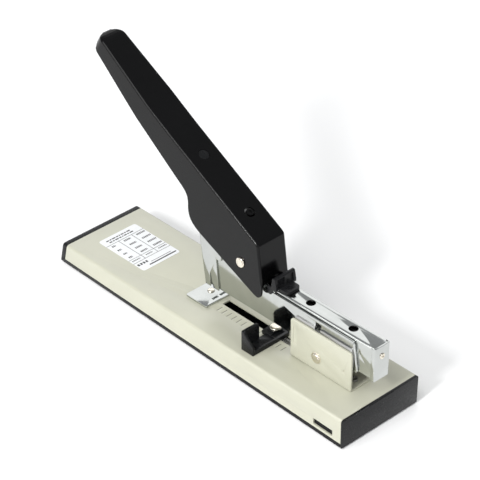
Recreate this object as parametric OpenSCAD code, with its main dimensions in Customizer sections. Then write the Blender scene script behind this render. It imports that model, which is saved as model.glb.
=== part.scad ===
// Heavy-duty desk stapler with a wedge base, a hinged body, a drop-nose driver,
// a drawer magazine that opens to the back, and a sliding paper guide.
// Millimetres, +Z up, +X towards the open end of the magazine.
// The origin is on the table, under the middle of the base.

/* [Base] */
// length of the base over both end caps
base_len = 294; // [280:1:310]
// width of the base
base_w = 74; // [70:0.5:80]
// height of the base at the magazine end
base_h_back = 24.3; // [20:0.1:30]
// height of the base at the paper end
base_h_front = 17.8; // [14:0.1:24]
// sheet thickness of the painted cover
cover_t = 1.5; // [1:0.1:2.5]
// outer radius of the long top edges
cover_r = 2.2; // [1.6:0.1:4]
// how far the rubber feet hold the base off the table
foot_lift = 0.8; // [0.5:0.1:2]
// height of the black rim under the cover
rim_h = 3.3; // [2.4:0.1:4]
// lean of the paper-end cap from upright, in degrees
front_lean = 11; // [0:0.5:15]

/* [Deck] */
// width of the guide slot
slot_w = 7.2; // [6:0.1:9]
// where the slot starts
slot_from = -6; // [-10:0.5:0]
// where the slot ends
slot_to = 66; // [60:0.5:68]
// spacing of the depth marks
tick_step = 5; // [4:0.5:10]
// number of depth marks
tick_count = 14; // [6:1:16]
// length of one depth mark
tick_len = 5.8; // [4:0.1:8]
// length of the paper label
label_len = 51; // [40:1:60]
// width of the paper label
label_w = 36; // [30:1:45]

/* [Anvil] */
// length of the anvil plate along the base
anvil_len = 21.5; // [18:0.5:30]
// width of the anvil plate
anvil_w = 32; // [28:0.5:40]
// thickness of the anvil plate
anvil_t = 1.5; // [1:0.1:2.5]
// where the staple lands on the anvil plate
anvil_line = -13.6; // [-16:0.1:-12]
// length of one clinching groove
groove_len = 5.8; // [5:0.1:6.6]

/* [Bracket] */
// where the painted bracket starts
bracket_from = 70.5; // [68:0.5:74]
// where the painted bracket ends
bracket_to = 128.6; // [120:0.5:132]
// height of the bracket plates
bracket_h = 32.4; // [28:0.2:36]
// half of the width over the bracket plates
bracket_half = 10.9; // [10.5:0.1:12]
// sheet thickness of the bracket
bracket_t = 1.4; // [1:0.1:1.4]
// where the body hinge pin is
hinge_u = 95.5; // [90:0.5:100]
// height of the body hinge pin above the deck
hinge_w = 11.6; // [10:0.1:12]
// diameter of the body hinge pin
hinge_d = 5; // [4:0.1:5]

/* [Body] */
// half of the width over the body side plates
frame_half = 8.3; // [8:0.1:8.4]
// sheet thickness of the body side plates
frame_t = 1.2; // [0.8:0.1:1.2]
// height of the body's lower edge above the deck
frame_bottom = 16.4; // [16:0.1:18]
// height of the body's upper edge above the deck
frame_top = 41; // [40.5:0.1:41.5]
// back end of the body side plates
frame_back = 131.5; // [128:0.5:132]
// lean of the driver housing from upright, in degrees
nose_lean = 8.5; // [6:0.1:10]
// where the staple leaves the body
exit_u = -12.5; // [-14:0.1:-12]

/* [Magazine] */
// back face of the magazine drawer
drawer_back = 146.3; // [144:0.1:148]
// front end of the drawer cover
drawer_from = 2; // [1:0.5:6]
// height of the drawer's top face above the deck
drawer_top = 43.6; // [43:0.1:44.5]
// half of the width over the drawer cover
drawer_half = 6.8; // [6.5:0.1:6.8]
// diameter of the two sight holes in the drawer cover
sight_d = 7; // [5:0.5:8]
// length of the strip of staples
strip_len = 70; // [30:1:80]

/* [Handle] */
// where the handle pivot is
pivot_u = 23; // [20:0.5:26]
// height of the handle pivot above the deck
pivot_w = 55.5; // [52:0.5:58]
// half of the width over the handle
handle_half = 13.1; // [12.8:0.1:14]
// sheet thickness of the handle
handle_t = 1.5; // [1:0.1:1.5]
// diameter of the handle pivot pin
pivot_d = 6.4; // [5:0.1:7]
// diameter of the hole and the plug in the handle
handle_hole_d = 8; // [6:0.5:9]

/* [Paper guide] */
// height of the guide fence above the deck
fence_h = 16; // [12:0.5:18]
// front face of the guide fence
fence_u = 42.4; // [42:0.1:44]
// thickness of the guide fence
fence_t = 1.8; // [1.4:0.1:2.4]
// diameter of the guide rivet head
knob_d = 8.6; // [7:0.1:10]

/* [Output] */
// the piece to show, or all of them

/* [Hidden] */
$fn = 64;

half_l = base_len / 2;
half_w = base_w / 2;
deck_tilt = atan((base_h_back - base_h_front) / base_len);
deck_z = (base_h_back + base_h_front) / 2;
cap_t = 4.6;
cover_to = 145.2;
rim_top = foot_lift + rim_h;
big = 400;
screw_at = [[-120, 26], [-120, -26], [120, 26], [120, -26], [0, 30], [0, -30]];
window_at = 128.6;
window_len = 18.2;
window_z = [6, 11];
tick_from = -3.1;
tick_v = -6.3;
bracket_screw_u = [75.6, 121.5];
latch_u = 48;
latch_w = 42.2;
guide_u = 44.2;
guide_v = 0.4;
label_at = -100.6;
anvil_from = anvil_line + 3.8 - anvil_len;
lean_c = cos(nose_lean);
lean_s = sin(nose_lean);
frame_inner = frame_half - frame_t;
cheek_half = 9.2;
nose_half = 9.3;
nose_low = -0.33;
plate_rivets = [[2, 48], [14, 43.5]];
rail_half = 4.4;
rail_top = 38.6;
rail_bottom = 18;
rod_w = 28;
strip_from = -13.2;
strip_to = strip_from + strip_len;
strip_top = 39.9;
roller_u = -16.1;
roller_w = 73.6;
blade_half = 5.9;
head_top = 54.9;
roller_r = 2;
// side outline of the handle, from the nose along the top to the tip and back
handle_top = [[39.7, 76.6], [37.4, 78.4], [-48.1, 126.1], [-68.3, 138], [-121.4, 170.9],
    [-127.2, 172.3], [-131, 169.7], [-131.3, 165.3]];
handle_low = [[-128.5, 160.5], [-88.7, 129.1], [-48.9, 99.2], [-35.2, 89.2], [-31.6, 85.2],
    [-30.6, 80], [-30.8, 73.4], [-29.2, 67.6], [-25.6, 63.2], [-20, 59.7], [6.9, 47.7],
    [36.4, 34.6], [39.6, 33.9], [42.2, 35.4], [43.3, 38.2], [43.8, 45.8]];
// the same outline drawn in by the sheet thickness, open along the underside
handle_core = [[42.3, 45.2], [42.3, 45.9], [38.2, 75.9], [36.7, 77], [-48.8, 124.7],
    [-69.1, 136.7], [-121.7, 169.1], [-127.1, 170.4], [-129.3, 168.7], [-129.7, 165.4],
    [-127, 161.3], [-88, 120], [-40, 70], [-36, 50], [30, 20], [50, 20], [50, 45.2]];
// side outline of one body side plate
plate_outline = [[-18.2, frame_bottom], [frame_back - 1.4, frame_bottom],
    [frame_back, frame_bottom + 1.4], [127.6, frame_top], [50.6, frame_top], [50.2, 43.2],
    [49, 44.2], [47, 44.3], [45.8, 43.4], [45.4, frame_top], [41.5, frame_top], [33.5, 60],
    [30.5, 63], [-21, 63], [-24.4, 57.6]];
// side outline of the handle's inner lever
lever_outline = [[-15.2, 71.6], [-8.2, 73.2], [15.6, 56.4], [23, 48.4], [29.8, 54.6],
    [18.2, 86.9], [5, 94.3], [-5.5, 92.4], [-18, 75]];

steel = [0.84, 0.86, 0.86];
cream = [0.9, 0.89, 0.82];
black = [0.1, 0.1, 0.11];
dark = [0.35, 0.36, 0.36];
nickel = [0.86, 0.83, 0.75];

// ---------- shared shapes ----------

module on_deck() translate([0, 0, deck_z]) rotate([0, -deck_tilt, 0]) children();

module in_nose() on_deck() translate([exit_u, 0, frame_bottom]) rotate([0, -nose_lean, 0]) children();

module along_y(y0, y1) translate([0, y1, 0]) rotate([90, 0, 0]) linear_extrude(y1 - y0) children();

module along_x(x0, x1) translate([x0, 0, 0]) rotate([90, 0, 90]) linear_extrude(x1 - x0) children();

module both_sides() for (side = [0, 1]) mirror([0, side, 0]) children();

module box(x0, x1, y0, y1, z0, z1) translate([x0, y0, z0]) cube([x1 - x0, y1 - y0, z1 - z0]);

module pin_y(u, w, r, y0, y1) translate([u, y1, w]) rotate([90, 0, 0]) cylinder(h = y1 - y0, r = r);

module round_plate(l, w, r) {
    square([l - 2 * r, w], center = true);
    square([l, w - 2 * r], center = true);
    for (x = [-1, 1], y = [-1, 1]) translate([x * (l / 2 - r), y * (w / 2 - r)]) circle(r);
}

module deck_section(inset, r) {
    half = half_w - inset;
    translate([-half, -40]) square([2 * half, 40 - inset - r]);
    translate([r - half, -40]) square([2 * (half - r), 40 - inset]);
    for (y = [-1, 1]) translate([y * (half - r), -inset - r]) circle(r);
}

module ring(r, wire) rotate_extrude() translate([r, 0]) circle(wire / 2, $fn = 20);

module dome(r, h) {
    // a low rivet head, flat on its underside
    rotate_extrude() intersection() {
        square([r, h]);
        translate([0, h - (r * r + h * h) / (2 * h)]) circle((r * r + h * h) / (2 * h));
    }
}

// ---------- base ----------

module base_cover() color(cream) difference() {
    on_deck() along_x(-half_l, cover_to) difference() {
        deck_section(0, cover_r);
        deck_section(cover_t, cover_r - cover_t);
    }
    box(-big, big, -big, big, -big, rim_top);
    paper_end(cap_t);
    on_deck() {
        translate([slot_from, -slot_w / 2, -5]) cube([slot_to - slot_from, slot_w, 10]);
        for (i = [0 : tick_count - 1])
            box(tick_from + i * tick_step - 0.3, tick_from + i * tick_step + 0.3,
                tick_v - tick_len, tick_v, -0.3, 1);
        translate([anvil_line - 8.3, 0, -5]) cylinder(h = 10, d = 3);
        for (u = bracket_screw_u) translate([u, 0, -5]) cylinder(h = 10, d = 3);
    }
    box(window_at - window_len / 2, window_at + window_len / 2, -big, big, window_z[0], window_z[1]);
}

module base_tray() color(black) difference() {
    union() {
        difference() {
            box(-144.2, cover_to - 0.2, -half_w, half_w, foot_lift, rim_top - 0.05);
            box(-134, 140, -half_w + 4.6, half_w - 4.6, rim_top - 0.8, rim_top + 1);
        }
        both_sides() box(-136, 142, half_w - 3.4, half_w - 1.9, rim_top - 0.1, rim_top + 4);
        for (x = [-137.6, 143]) box(x, x + 1.6, -half_w + 3, half_w - 3, rim_top - 0.1, rim_top + 4);
        for (p = screw_at) translate([p[0], p[1], rim_top - 1.2]) cylinder(h = 8.1, d = 7);
        for (x = [-90, -45, 30, 75])
            box(x, x + 1.6, -half_w + 3, half_w - 3, rim_top - 1.2, rim_top + 2.4);
    }
    for (p = screw_at) translate([p[0], p[1], -1]) {
        cylinder(h = 16, d = 3);
        cylinder(h = 3.2, d = 6.4);
    }
    for (x = [-132, 132], y = [-28, 28]) translate([x, y, foot_lift - 1]) cylinder(h = 1.6, d = 12.2);
}

// all that lies beyond a plane parallel to the leaning face of the paper-end cap
module paper_end(depth) translate([depth - half_l, 0, foot_lift]) rotate([0, front_lean, 0])
    box(-60, 0, -big, big, -60, 60);

module cap_solid(u0, u1) on_deck() along_x(u0, u1) deck_section(0, cover_r);

module cap_back() color(black) {
    difference() {
        cap_solid(cover_to, cover_to + 8);
        box(-big, big, -big, big, -big, foot_lift);
        box(half_l, big, -big, big, -big, big);
        on_deck() box(cover_to + 1.4, big, -12, 12, -0.7, 5);
        on_deck() box(cover_to + 1.9, big, -12, 12, -8, 5);
    }
    difference() {
        on_deck() along_x(cover_to - 2, cover_to + 0.2) deck_section(cover_t + 0.15, 1);
        on_deck() along_x(cover_to - 3, cover_to - 0.3) deck_section(cover_t + 1.6, 0.6);
        box(-big, big, -big, big, -big, rim_top + 4.2);
    }
}

module cap_front() color(black) {
    difference() {
        intersection() {
            cap_solid(-half_l - 2, -130);
            paper_end(cap_t);
        }
        box(-big, big, -big, big, -big, foot_lift);
        paper_end(0);
        box(-144.3, -100, -big, big, -big, rim_top);
    }
    difference() {
        on_deck() along_x(-half_l, -136.4) deck_section(cover_t + 0.15, 1);
        on_deck() along_x(-half_l - 1, -136) deck_section(cover_t + 1.6, 0.6);
        paper_end(cap_t - 1.6);
        box(-big, big, -big, big, -big, rim_top + 4.2);
    }
}

module feet() color([0.16, 0.16, 0.17])
    for (x = [-132, 132], y = [-28, 28]) translate([x, y, 0]) {
        cylinder(h = 0.4, d1 = 11, d2 = 12);
        translate([0, 0, 0.4]) cylinder(h = 0.9, d = 12);
    }

module tray_screws() color(steel)
    for (p = screw_at) translate([p[0], p[1], foot_lift + 0.2]) difference() {
        union() {
            cylinder(h = 1.2, d = 5.6);
            cylinder(h = 8.6, d = 2.6);
        }
        for (a = [0, 90]) rotate([0, 0, a]) translate([-1.8, -0.35, -0.1]) cube([3.6, 0.7, 0.7]);
    }

module label() color([0.97, 0.97, 0.96]) on_deck() translate([label_at, 0.5, 0])
    linear_extrude(0.15) round_plate(label_len, label_w, 2.4);

module window_clips() color(black) both_sides() difference() {
    box(window_at - 10.5, window_at + 10.5, half_w - 4.6, half_w - 1.7, rim_top + 0.05, 12.2);
    box(window_at - 7.6, window_at + 7.6, half_w - 2.9, half_w, 7.2, 9.9);
    box(window_at - 11, window_at + 11, half_w - 3.6, half_w - 1.6, rim_top - 1, rim_top + 4.2);
}

// ---------- deck hardware ----------

module anvil_plate() color(steel) on_deck() difference() {
    translate([anvil_from + anvil_len / 2, 0, 0]) linear_extrude(anvil_t)
        difference() {
            round_plate(anvil_len, anvil_w, 1.6);
            translate([anvil_line - 8.3 - anvil_from - anvil_len / 2, 0]) circle(d = 3);
        }
    for (s = [-1, 1]) translate([anvil_line, s * (0.8 + groove_len / 2), anvil_t]) intersection() {
        translate([0, 0, 3.4]) rotate([90, 0, 90]) translate([0, 0, -1.1]) cylinder(h = 2.2, r = 4.4);
        box(-1.1, 1.1, -groove_len / 2, groove_len / 2, -1, 1);
    }
}

module anvil_rivet() color(nickel) on_deck() translate([anvil_line - 8.3, 0, 0]) {
    translate([0, 0, anvil_t]) dome(2.7, 1);
    translate([0, 0, -3]) cylinder(h = 3.05 + anvil_t, d = 3);
    translate([0, 0, -cover_t - 1.1]) cylinder(h = 1, d = 6);
}

module bracket() color(cream) on_deck() difference() {
    union() {
        both_sides() along_y(bracket_half - bracket_t, bracket_half) difference() {
            union() {
                translate([bracket_from, 0]) square([bracket_to - bracket_from, bracket_h - 2]);
                translate([bracket_from + 2, 0])
                    square([bracket_to - bracket_from - 4, bracket_h]);
                for (u = [bracket_from + 2, bracket_to - 2]) translate([u, bracket_h - 2]) circle(2);
            }
            translate([hinge_u, hinge_w]) circle(d = hinge_d);
        }
        box(bracket_from, bracket_to, -bracket_half, bracket_half, 0, bracket_t);
    }
    for (u = bracket_screw_u) translate([u, 0, -1]) cylinder(h = 5, d = 3);
    both_sides() {
        box(73, 76.8, bracket_half - 0.35, bracket_half + 1, 12.3, 26.1);
        pin_y(121.4, 14.2, 0.9, bracket_half - 0.5, bracket_half + 1);
    }
}

module bracket_screws() color(steel) on_deck() for (u = bracket_screw_u) translate([u, 0, 0]) {
    difference() {
        translate([0, 0, bracket_t]) cylinder(h = 1.5, d = 5.6);
        for (a = [30, 120]) rotate([0, 0, a])
            translate([-1.8, -0.4, bracket_t + 0.8]) cube([3.6, 0.8, 2]);
    }
    translate([0, 0, -7]) cylinder(h = 7.05 + bracket_t, d = 3);
    translate([0, 0, -cover_t - 2.6]) difference() {
        cylinder(h = 2.4, d = 6.4, $fn = 6);
        translate([0, 0, -1]) cylinder(h = 5, d = 2.98);
    }
}

module hinge_pin() color(nickel) on_deck() {
    pin_y(hinge_u, hinge_w, hinge_d / 2, -bracket_half - 0.1, bracket_half + 0.1);
    both_sides() {
        pin_y(hinge_u, hinge_w, 4.4, bracket_half, bracket_half + 0.5);
        translate([hinge_u, bracket_half + 0.5, hinge_w]) rotate([-90, 0, 0]) dome(3.5, 0.9);
    }
}

module slot_spring() color(steel) on_deck() translate([0, 0, -2.7]) rotate([0, 90, 0]) {
    for (i = [0 : 7]) translate([0, 0, 53.5 + i * 1.35]) ring(2.3, 0.9);
    translate([-2.3, 0, 53.5]) cylinder(h = slot_to - 53.5, d = 0.8);
    translate([2.3, 0, 53.5]) cylinder(h = 9.4, d = 0.8);
}

// ---------- hinged body ----------

module frame_plates() color(steel) on_deck() both_sides() along_y(frame_inner, frame_half) difference() {
    polygon(plate_outline);
    translate([pivot_u, pivot_w]) circle(d = pivot_d);
    translate([latch_u, latch_w]) circle(1.25);
    translate([91.8, 33.4]) square([5.4, 5.2]);
    translate([91.8, 32]) square([1.6, 3]);
    for (p = plate_rivets) translate(p) circle(1.5);
}

module frame_floor() color(steel) on_deck()
    box(-6.5, frame_back - 2, -frame_inner, frame_inner, frame_bottom, frame_bottom + 1.2);

module hinge_cheeks() color(dark) on_deck() both_sides() along_y(frame_half, cheek_half) difference() {
    union() {
        translate([73, 9]) square([54.4, 24.8]);
        translate([75, 9]) square([50.4, 26]);
        for (u = [75, 125.4]) translate([u, 33]) circle(2);
        translate([hinge_u, hinge_w]) circle(5.6);
    }
    translate([hinge_u, hinge_w]) circle(d = hinge_d + 0.12);
    translate([60, -20]) square([hinge_u - 60 - 7, 36]);
    translate([hinge_u + 7, -20]) square([60, 36]);
    translate([91.8, 32]) square([5.4, 5]);
}

module nose_shell() color(steel) in_nose() difference() {
    union() {
        both_sides() along_y(frame_half, nose_half)
            polygon([[-5.9, nose_low], [8.4, nose_low - 14.3 * lean_s / lean_c], [9.6, 23.5],
                [14.5, 23.5], [20, 44], [-5.9, 44]]);
        box(-5.9, -4.5, -nose_half, nose_half, nose_low, 44);
    }
    both_sides() along_y(frame_half - 1, nose_half + 1) {
        polygon([[-0.6, -8], [3.4, -8], [1.9, 9.6], [0.9, 9.6]]);
        translate([1.4, 9.6]) circle(0.5);
    }
}

module nose_block() color(dark) in_nose() difference() {
    box(-4.5, -1.7, -frame_inner, frame_inner, -0.4, 23.4);
    box(-2.4, -1, -4, 4, 18, 50);
}

module pivot_pin() color(nickel) on_deck() {
    pin_y(pivot_u, pivot_w, pivot_d / 2, -handle_half - 0.5, handle_half + 0.5);
    both_sides() {
        pin_y(pivot_u, pivot_w, 3.9, handle_half + 0.15, handle_half + 0.5);
        translate([pivot_u, handle_half + 0.5, pivot_w]) rotate([-90, 0, 0]) dome(3.9, 0.8);
    }
}

module pivot_collars() color(dark) on_deck() both_sides() translate([pivot_u, 0, pivot_w]) rotate([-90, 0, 0])
    difference() {
        translate([0, 0, frame_half]) cylinder(h = 11.3 - frame_half, d = 12);
        cylinder(h = 20, d = pivot_d);
    }

module frame_rivets() color(nickel) on_deck() both_sides()
    for (p = plate_rivets) {
        pin_y(p[0], p[1], 1.5, frame_inner, frame_half);
        translate([p[0], frame_half, p[1]]) rotate([-90, 0, 0]) dome(2, 0.5);
    }

module lift_spring() color(steel) on_deck() translate([86, 0, 0]) {
    for (i = [0 : 6]) translate([0, 0, bracket_t + 0.65 + i * 2.15]) ring(3.4, 1.1);
    for (a = [0, 180]) rotate([0, 0, a]) translate([3.4, 0, bracket_t + 0.6]) cylinder(h = 13.2, d = 0.9);
}

module handle_spring() color(steel) on_deck() both_sides() translate([pivot_u, 0, pivot_w]) {
    translate([0, 6.2, 0]) rotate([-90, 0, 0]) ring(4.3, 1.2);
    translate([-4.3, 6.2, 0]) rotate([0, -12, 0]) cylinder(h = 11, d = 1.1);
    translate([4.3, 6.2, 0]) rotate([0, 165, 0]) cylinder(h = 10, d = 1.1);
}

// ---------- latch ----------

module latch() color(black) on_deck() {
    // broad thumb paddle
    difference() {
        along_y(-9.7, 9.7) polygon([[49.4, 44.4], [54.6, 44.4], [54.8, 47], [53.2, 54.4], [50.6, 54.4]]);
        along_y(-7.6, 7.6) polygon([[55.4, 46.6], [54.2, 53.2], [52.6, 52.6], [53, 46.6]]);
    }
    along_y(-0.8, 0.8) polygon([[53.2, 46.4], [54.4, 46.4], [53.4, 53.4], [52.4, 53.4]]);
    // rounded tab over the drawer cover
    difference() {
        union() {
            box(54, 59.6, -6.6, 6.6, 44, 46.2);
            for (y = [-3.4, 3.4]) translate([59.6, y, 44]) cylinder(h = 2.2, r = 3.2);
            box(58, 62.8, -3.4, 3.4, 44, 46.2);
        }
        translate([58.6, 0, 45.6]) cylinder(h = 3, r = 1.8);
    }
    // ears outside the lugs of the body side plates, with stub pins into them
    both_sides() {
        along_y(frame_half + 0.3, 9.6) {
            translate([latch_u, latch_w]) circle(2.4);
            translate([latch_u - 2.4, latch_w]) square([4.8, 2.6]);
            translate([latch_u - 2.2, latch_w + 1.2]) square([5.4, 3]);
        }
        pin_y(latch_u, latch_w, 1.2, frame_inner + 0.1, frame_half + 0.4);
    }
}

module latch_spring() color(steel) on_deck() translate([latch_u, 9.9, latch_w]) rotate([-90, 0, 0]) {
    for (i = [0, 1]) translate([0, 0, 0.1 + i * 0.7]) ring(1.9, 0.6);
    translate([1.9, 0, 0.45]) rotate([90, 0, 0]) cylinder(h = 5, d = 0.6);
    cylinder(h = 1, d = 1.2);
}

// ---------- magazine drawer ----------

module drawer_cover() color(steel) on_deck() difference() {
    along_x(drawer_from, drawer_back - 1.4) difference() {
        union() {
            translate([-drawer_half, rail_bottom]) square([2 * drawer_half, drawer_top - rail_bottom - 1]);
            translate([1 - drawer_half, rail_bottom]) square([2 * drawer_half - 2, drawer_top - rail_bottom]);
            for (y = [-1, 1]) translate([y * (drawer_half - 1), drawer_top - 1]) circle(1);
        }
        translate([-drawer_half + 0.7, rail_bottom - 1])
            square([2 * drawer_half - 1.4, drawer_top - rail_bottom - 0.1]);
    }
    for (u = [78.8, 119.3]) translate([u, 0, 30]) cylinder(h = 20, d = sight_d);
    both_sides() box(60, 126, drawer_half - 1, drawer_half + 1, 40.2, 40.9);
    both_sides() box(91.8, 97.2, drawer_half - 1, drawer_half + 1, 33.4, 38.6);
}

module drawer_end() color(steel) on_deck() {
    difference() {
        union() {
            box(drawer_back - 1.4, drawer_back, -7, 7, 16.6, drawer_top + 0.2);
            both_sides() box(drawer_back - 3.6, drawer_back, drawer_half, 7.3, 16.6, drawer_top + 0.2);
        }
        pin_x(drawer_back - 3, drawer_back + 1, 0, 35.4, 1.5);
    }
    difference() {
        box(drawer_back - 4.4, drawer_back - 1.4, -rail_half, rail_half, rail_bottom, 42.3);
        pin_x(drawer_back - 5, drawer_back, 0, 35.4, 1.5);
    }
}

module pin_x(x0, x1, y, z, r) translate([x0, y, z]) rotate([0, 90, 0]) cylinder(h = x1 - x0, r = r);

module end_rivet() color(nickel) on_deck() difference() {
    union() {
        pin_x(drawer_back - 3.9, drawer_back + 0.05, 0, 35.4, 1.5);
        translate([drawer_back, 0, 35.4]) rotate([0, 90, 0]) dome(2.3, 0.6);
    }
    pin_x(drawer_back - 0.4, drawer_back + 2, 0, 35.4, 0.8);
}

module staple_rail() color(steel) on_deck() difference() {
    box(-12.6, drawer_back - 4.4, -rail_half, rail_half, rail_bottom, rail_top);
    box(-11, drawer_back - 4, -rail_half + 0.9, rail_half - 0.9, rail_bottom - 1, rail_top - 1);
}

module staples() color([0.8, 0.8, 0.78]) on_deck() difference() {
    box(strip_from, strip_to, -5.7, 5.7, 24, strip_top);
    box(strip_from - 1, strip_to + 1, -4.7, 4.7, 23, rail_top + 0.3);
    for (i = [1 : 6]) box(strip_from + i * 10 - 0.1, strip_from + i * 10 + 0.1, -9, 9, strip_top - 0.2, 50);
}

module pusher_rod() color(nickel) on_deck() {
    pin_x(-11, drawer_back - 4.4, 0, rod_w, 1.2);
    pin_x(-11, -9.4, 0, rod_w, 2.6);
}

module pusher() color(dark) on_deck() difference() {
    box(strip_to + 0.1, strip_to + 12, -5.7, 5.7, 19.2, 40.4);
    difference() {
        box(strip_to - 1, strip_to + 13, -rail_half - 0.3, rail_half + 0.3, 21.2, rail_top + 0.3);
        box(strip_to + 0.1, strip_to + 6, -3.1, 3.1, 20, 33);
    }
    box(strip_to - 1, strip_to + 13, -rail_half - 0.3, -3.1, 15, rail_top);
    box(strip_to - 1, strip_to + 13, 3.1, rail_half + 0.3, 15, rail_top);
    pin_x(strip_to - 1, strip_to + 13, 0, rod_w, 1.3);
}

module pusher_spring() color(steel) on_deck() {
    for (i = [0 : 18]) translate([strip_to + 7 + i * 4.1, 0, rod_w]) rotate([0, 90, 0]) ring(2.3, 0.8);
    for (a = [90, 270]) translate([strip_to + 6.8, 0, rod_w]) rotate([a, 0, 0])
        translate([0, 0, 2.3]) rotate([0, 90, 0]) cylinder(h = 74.4, d = 0.7);
}

// ---------- driver and handle ----------

module driver() color(dark) in_nose() {
    box(-1.4, -0.2, -blade_half, blade_half, 27, 50.1);
    box(-3.6, 4.8, -5.4, 5.4, 50, head_top);
}

// outline of the handle seen square to its top face, narrowing to a rounded tip
module handle_plan(inset) translate([-130.7, 0, 167]) rotate([0, 31.7, 0])
    translate([0, 0, -150]) linear_extrude(300) hull() {
        for (y = [-1, 1]) translate([8.3, y * (handle_half - 10.6)]) circle(8.3 - inset);
        translate([62, inset - handle_half]) square([240, 2 * (handle_half - inset)]);
    }

module handle_shell() color(black) on_deck() difference() {
    intersection() {
        along_y(-handle_half, handle_half) polygon(concat(handle_top, handle_low));
        handle_plan(0);
    }
    intersection() {
        along_y(handle_t - handle_half, handle_half - handle_t) polygon(handle_core);
        handle_plan(handle_t);
    }
    both_sides() pin_y(pivot_u, pivot_w, pivot_d / 2 + 0.06, 5, handle_half + 1);
    for (p = [[-27.2, 115.5], [18.9, 89.9]]) translate([p[0], 0, p[1]]) rotate([0, 29.2, 0])
        translate([0, 0, -8]) cylinder(h = 14, d = handle_hole_d);
}

module handle_plug() color([0.06, 0.06, 0.07]) on_deck() translate([-27.2, 0, 115.5]) rotate([0, 29.2, 0]) {
    translate([0, 0, -2.9]) cylinder(h = 1.8, d = handle_hole_d);
    translate([0, 0, -3.6]) cylinder(h = 1.1, d = handle_hole_d + 2);
}

module handle_lever() color(dark) on_deck() difference() {
    union() {
        both_sides() along_y(3.4, 5.2) union() {
            polygon(lever_outline);
            translate([pivot_u, pivot_w]) circle(7.4);
            translate([roller_u, roller_w]) circle(roller_r - 0.1);
        }
        along_y(-3.4, 3.4) polygon([[-3.4, 92.6], [5, 94.3], [18.2, 86.9], [16.4, 80.6], [-3.6, 88]]);
        along_y(-3.4, 3.4) polygon([[-4, 76], [4, 72], [4, 76], [-4, 80]]);
    }
    pin_y(pivot_u, pivot_w, pivot_d / 2 + 0.06, -20, 20);
    pin_y(roller_u, roller_w, 1.2, -20, 20);
    translate([18.9, 0, 89.9]) rotate([0, 29.2, 0]) translate([0, 0, -12]) cylinder(h = 14, d = 3.2);
}

module handle_roller() color(steel) on_deck() {
    pin_y(roller_u, roller_w, roller_r, -3.1, 3.1);
    pin_y(roller_u, roller_w, 1.2, -5.6, 5.6);
}

module lever_screw() color(dark) on_deck() translate([18.9, 0, 89.9]) rotate([0, 29.2, 0]) {
    difference() {
        translate([0, 0, -2.6]) cylinder(h = 1.8, d = 5.6);
        translate([0, 0, -1.8]) cylinder(h = 2, d = 2.6, $fn = 6);
    }
    translate([0, 0, -9]) cylinder(h = 6.6, d = 3.2);
}

// ---------- paper guide ----------

module guide_fence() color(black) on_deck() difference() {
    union() {
        // upright fence with a cut corner
        along_x(fence_u, fence_u + fence_t)
            polygon([[-31, 0.3], [-15.6, 0.3], [-15.6, fence_h - 1.8], [-17, fence_h], [-31, fence_h]]);
        // rim and gusset round the foot
        box(fence_u, 54, -31, -29.4, 0.3, 2.4);
        along_y(-31, -29.4)
            polygon([[fence_u, 0.3], [fence_u, fence_h], [fence_u + 1.8, fence_h], [54, 6.4], [54, 0.3]]);
        box(52.4, 54, -31, 3.6, 0.3, 3.4);
        box(fence_u, 54, -31, 3.6, 0.3, 1.9);
        // boss round the rivet
        translate([guide_u, guide_v, 0.3]) cylinder(h = 3.3, r = 5.4);
        box(38.8, 52.4, -8, 5.8, 0.3, 3);
    }
    translate([guide_u, guide_v, -1]) cylinder(h = 10, d = 4);
    box(47, 51.4, -7.6, 2.4, 1.6, 8);
}

module guide_knob() color(nickel) on_deck() translate([guide_u, guide_v, 0]) {
    translate([0, 0, 3.6]) cylinder(h = 0.6, d = knob_d);
    translate([0, 0, 4.2]) dome(knob_d / 2, 0.9);
    translate([0, 0, -3.4]) cylinder(h = 7.1, d = 4);
}

module guide_slider() color(steel) on_deck() translate([guide_u, guide_v, 0]) {
    difference() {
        translate([-6, -6, -cover_t - 1.5]) cube([12, 12, 1.2]);
        translate([0, 0, -5]) cylinder(h = 10, d = 4);
    }
    translate([0, 0, -4.6]) cylinder(h = 1.2, d = 6.4);
}

base_cover();
base_tray();
cap_back();
cap_front();
feet();
tray_screws();
label();
window_clips();
anvil_plate();
anvil_rivet();
bracket();
bracket_screws();
hinge_pin();
slot_spring();
frame_plates();
frame_floor();
hinge_cheeks();
nose_shell();
nose_block();
pivot_pin();
pivot_collars();
frame_rivets();
lift_spring();
handle_spring();
latch();
latch_spring();
drawer_cover();
drawer_end();
end_rivet();
staple_rail();
staples();
pusher_rod();
pusher();
pusher_spring();
driver();
handle_shell();
handle_lever();
handle_roller();
handle_plug();
lever_screw();
guide_fence();
guide_knob();
guide_slider();
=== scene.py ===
import math

import bmesh
import bpy
from bpy.props import (FloatProperty, FloatVectorProperty, IntProperty,
                       PointerProperty)
from bpy.types import Operator, Panel, PropertyGroup
from mathutils import Matrix, Vector


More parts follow.
